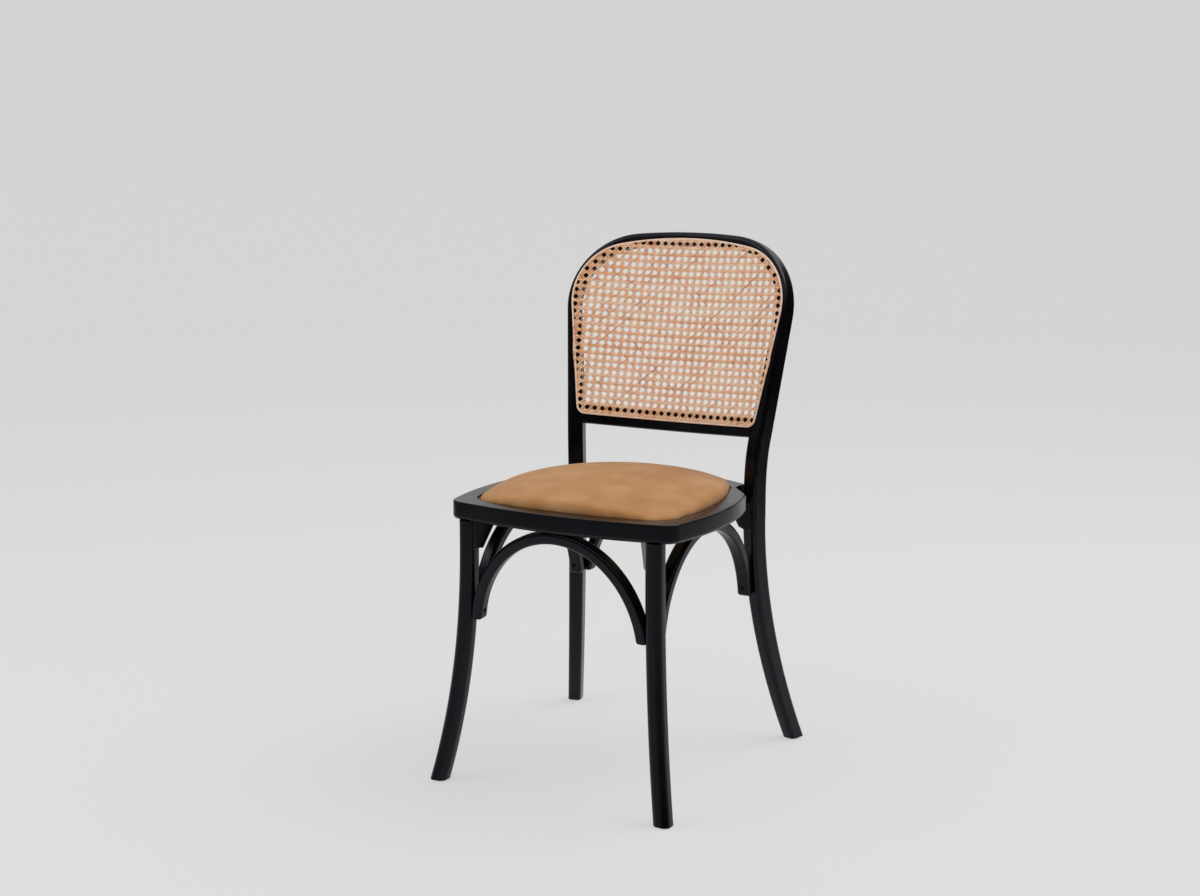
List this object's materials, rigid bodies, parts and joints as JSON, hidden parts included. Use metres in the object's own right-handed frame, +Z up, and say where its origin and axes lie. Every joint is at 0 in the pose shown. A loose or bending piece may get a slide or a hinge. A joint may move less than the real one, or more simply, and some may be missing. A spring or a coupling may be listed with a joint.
{
  "type": "bistro chair",
  "caption": "Black bentwood bistro side chair with a bent back hoop, woven cane back panel, crowned drop-in seat pad, sabre legs and bent brace arches under the seat",
  "frame": {"origin": "on the floor under the middle of the chair's bounding box", "axes": "+Z up, the sitter looks along -Y, the sitter's left is +X"},
  "size_m": [0.4726, 0.5309, 0.88],
  "materials": {
    "black_wood": "satin black lacquer",
    "raw_wood": "plain",
    "cane": "natural, woven",
    "reed": "natural",
    "tan_leather": "matte, nubuck",
    "foam": "matte",
    "screw_steel": "blackened",
    "glide_plastic": "matte"
  },
  "bodies": {
    "root": {"back_hoop": "black_wood", "back_rail": "black_wood", "rail_dowels": "raw_wood", "cane_panel": "cane", "cane_spline": "reed", "seat_frame": "black_wood", "seat_board": "raw_wood", "seat_foam": "foam", "seat_cover": "tan_leather", "pad_screws": "screw_steel", "front_leg_left": "black_wood", "front_leg_right": "black_wood", "front_arch": "black_wood", "rear_arch": "black_wood", "left_arch": "black_wood", "right_arch": "black_wood", "arch_leg_screws": "screw_steel", "arch_seat_screws": "screw_steel", "corner_block_front_left": "black_wood", "corner_block_front_right": "black_wood", "corner_block_rear_left": "black_wood", "corner_block_rear_right": "black_wood", "corner_block_screws": "screw_steel", "foot_glides": "glide_plastic"}
  },
  "joints": []
}
